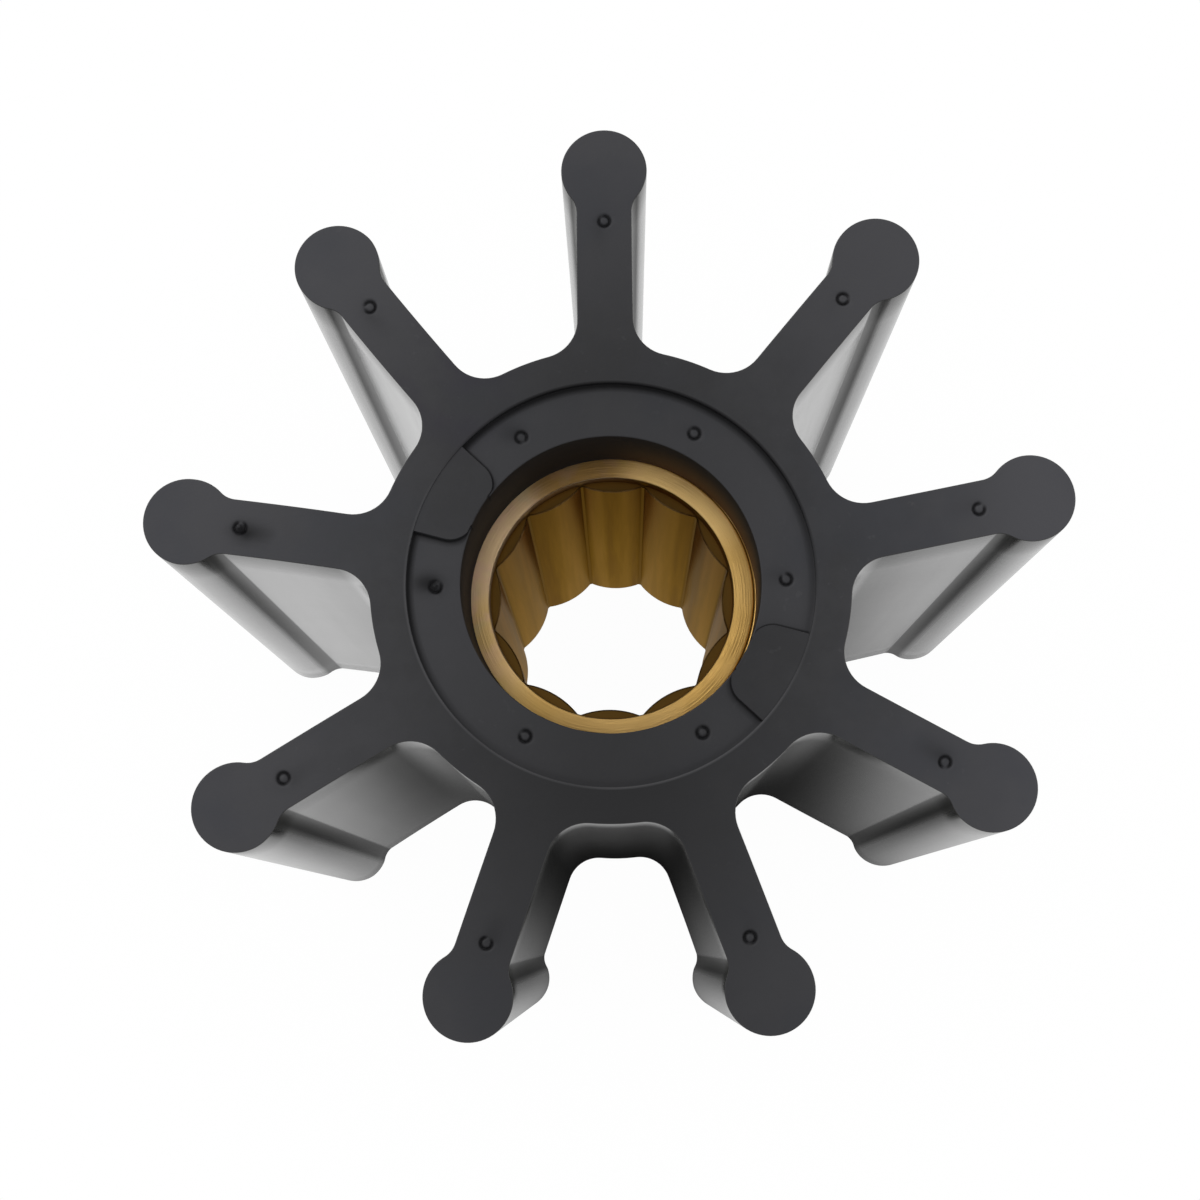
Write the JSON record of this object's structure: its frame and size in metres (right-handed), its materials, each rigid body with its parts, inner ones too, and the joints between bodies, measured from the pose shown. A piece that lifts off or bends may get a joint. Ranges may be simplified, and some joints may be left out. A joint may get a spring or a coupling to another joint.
{
  "type": "flexible pump impeller",
  "caption": "Flexible rubber impeller with straight round-tipped vanes, moulded on a brass sleeve with a splined bore, for a marine water pump.",
  "frame": {"origin": "on the shaft axis at the plain rear end face", "axes": "+Z runs along the shaft axis to the marked front end face, +Y runs through the middle of one vane"},
  "size_m": [0.0938, 0.0926, 0.0889],
  "materials": {
    "rubber": "matte moulded rubber",
    "brass": "turned brass, lightly tarnished"
  },
  "bodies": {
    "root": {"rubber_body": "rubber", "brass_insert": "brass"}
  },
  "joints": []
}
